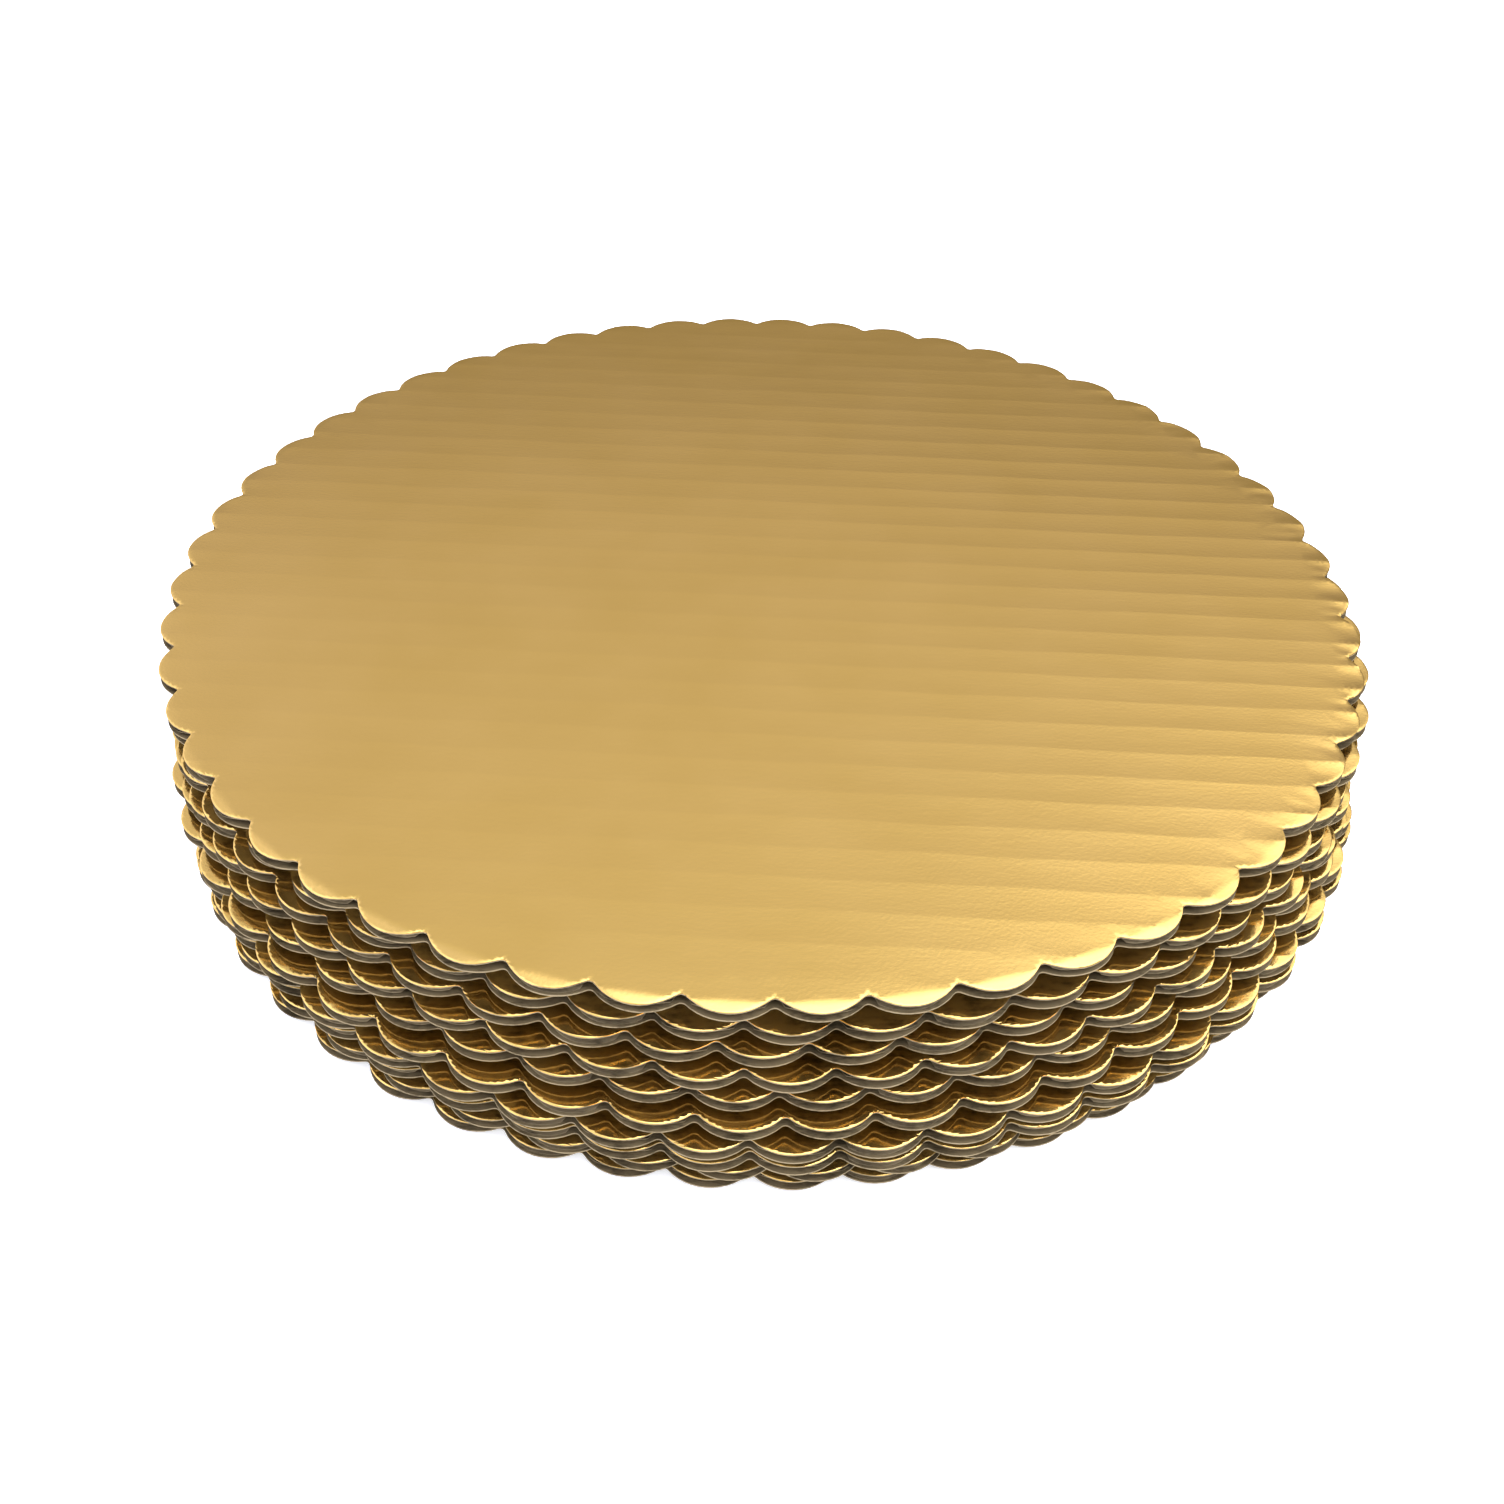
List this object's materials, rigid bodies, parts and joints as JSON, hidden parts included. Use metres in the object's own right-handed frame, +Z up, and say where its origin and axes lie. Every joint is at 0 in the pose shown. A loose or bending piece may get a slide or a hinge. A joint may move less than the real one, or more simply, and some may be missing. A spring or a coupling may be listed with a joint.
{
  "type": "cake board pack",
  "caption": "Flat pack of round cake boards with scalloped rims: gold foil on corrugated card, lying loosely stacked so that each board lifts off the one below.",
  "frame": {"origin": "middle of the bottom board, on the face it stands on", "axes": "+Z up, X along the flutes (left to right across the pack), Y across them"},
  "size_m": [0.2563, 0.2623, 0.04],
  "materials": {
    "gold_foil": "metallised gold foil laminate, satin",
    "kraft_liner": "matt kraft liner",
    "fluting": "matt grey-brown fluting"
  },
  "bodies": {
    "board_01": {"foil_01": "gold_foil", "top_liner_01": "kraft_liner", "flute_medium_01": "fluting", "bottom_liner_01": "kraft_liner"},
    "board_02": {"foil_02": "gold_foil", "top_liner_02": "kraft_liner", "flute_medium_02": "fluting", "bottom_liner_02": "kraft_liner"},
    "board_03": {"foil_03": "gold_foil", "top_liner_03": "kraft_liner", "flute_medium_03": "fluting", "bottom_liner_03": "kraft_liner"},
    "board_04": {"foil_04": "gold_foil", "top_liner_04": "kraft_liner", "flute_medium_04": "fluting", "bottom_liner_04": "kraft_liner"},
    "board_05": {"foil_05": "gold_foil", "top_liner_05": "kraft_liner", "flute_medium_05": "fluting", "bottom_liner_05": "kraft_liner"},
    "board_06": {"foil_06": "gold_foil", "top_liner_06": "kraft_liner", "flute_medium_06": "fluting", "bottom_liner_06": "kraft_liner"},
    "board_07": {"foil_07": "gold_foil", "top_liner_07": "kraft_liner", "flute_medium_07": "fluting", "bottom_liner_07": "kraft_liner"},
    "board_08": {"foil_08": "gold_foil", "top_liner_08": "kraft_liner", "flute_medium_08": "fluting", "bottom_liner_08": "kraft_liner"},
    "board_09": {"foil_09": "gold_foil", "top_liner_09": "kraft_liner", "flute_medium_09": "fluting", "bottom_liner_09": "kraft_liner"},
    "board_10": {"foil_10": "gold_foil", "top_liner_10": "kraft_liner", "flute_medium_10": "fluting", "bottom_liner_10": "kraft_liner"}
  },
  "joints": [
    {"name": "board_09_lift", "type": "slide", "parent": "board_10", "child": "board_09", "axis": [0, 0, 1], "range_m": [0, 0.03]},
    {"name": "board_08_lift", "type": "slide", "parent": "board_09", "child": "board_08", "axis": [0, 0, 1], "range_m": [0, 0.03]},
    {"name": "board_07_lift", "type": "slide", "parent": "board_08", "child": "board_07", "axis": [0, 0, 1], "range_m": [0, 0.03]},
    {"name": "board_06_lift", "type": "slide", "parent": "board_07", "child": "board_06", "axis": [0, 0, 1], "range_m": [0, 0.03]},
    {"name": "board_05_lift", "type": "slide", "parent": "board_06", "child": "board_05", "axis": [0, 0, 1], "range_m": [0, 0.03]},
    {"name": "board_04_lift", "type": "slide", "parent": "board_05", "child": "board_04", "axis": [0, 0, 1], "range_m": [0, 0.03]},
    {"name": "board_03_lift", "type": "slide", "parent": "board_04", "child": "board_03", "axis": [0, 0, 1], "range_m": [0, 0.03]},
    {"name": "board_02_lift", "type": "slide", "parent": "board_03", "child": "board_02", "axis": [0, 0, 1], "range_m": [0, 0.03]},
    {"name": "board_01_lift", "type": "slide", "parent": "board_02", "child": "board_01", "axis": [0, 0, 1], "range_m": [0, 0.03]}
  ]
}
